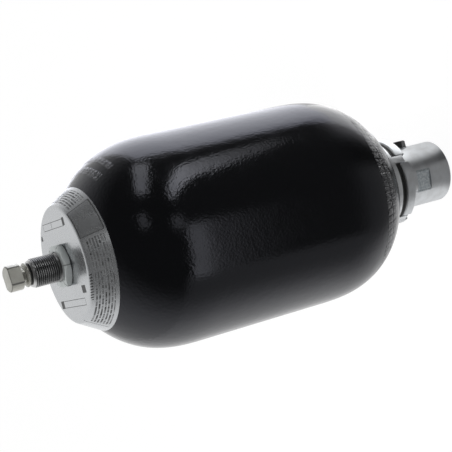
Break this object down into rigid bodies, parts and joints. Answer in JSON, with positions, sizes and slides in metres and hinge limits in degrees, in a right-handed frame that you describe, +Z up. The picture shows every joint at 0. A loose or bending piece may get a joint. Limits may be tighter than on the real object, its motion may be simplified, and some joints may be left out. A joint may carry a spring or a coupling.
{
  "type": "bladder accumulator",
  "caption": "Round-ended steel pressure vessel with a rubber gas bladder inside, a threaded fluid port below and a sealed gas valve on top.",
  "frame": {"origin": "centre of the fluid port's end face, which is the lowest face of the part", "axes": "+Z up along the vessel's axis, from the fluid port to the gas valve; +X through the vent screw"},
  "size_m": [0.168, 0.168, 0.3999],
  "materials": {
    "black_enamel": "gloss",
    "silver_foil": "satin",
    "zinc_steel": "satin",
    "nickel_steel": "polished",
    "black_steel": "satin",
    "spring_steel": "satin",
    "valve_brass": "machined",
    "bladder_rubber": "matte",
    "seal_rubber": "satin",
    "white_ptfe": "matte"
  },
  "bodies": {
    "housing": {"shell": "black_enamel", "bladder": "bladder_rubber", "valve_stem": "black_steel", "name_plate": "silver_foil", "lock_nut": "zinc_steel", "gas_valve_body": "nickel_steel", "gas_valve_seal": "seal_rubber", "valve_pin_spring": "spring_steel", "pin_spring_retainer": "valve_brass", "seal_cap": "nickel_steel", "cap_gasket": "seal_rubber", "fluid_port": "zinc_steel", "slotted_nut": "zinc_steel", "spacer_ring": "zinc_steel", "dust_ring": "seal_rubber", "backup_ring": "white_ptfe", "port_o_ring": "seal_rubber", "seal_washer": "zinc_steel", "anti_extrusion_ring": "seal_rubber", "half_rings": "black_steel", "poppet_spring": "spring_steel", "guide_bush": "valve_brass", "vent_screw": "black_steel", "vent_seal": "zinc_steel"},
    "poppet_valve": {"poppet": "zinc_steel", "damping_sleeve": "zinc_steel", "poppet_nut": "zinc_steel"},
    "gas_pin": {"valve_pin": "spring_steel", "valve_pin_seal": "seal_rubber"}
  },
  "joints": [
    {"name": "poppet_slide", "type": "slide", "parent": "housing", "child": "poppet_valve", "axis": [0, 0, -1], "range_m": [0, 0.009], "stiffness_N_per_m": 1200, "springref_m": -0.012, "deforming": ["poppet_spring"]},
    {"name": "gas_pin_slide", "type": "slide", "parent": "housing", "child": "gas_pin", "axis": [0, 0, -1], "range_m": [0, 0.0015], "stiffness_N_per_m": 1500, "springref_m": -0.002, "deforming": ["valve_pin_spring"]}
  ]
}
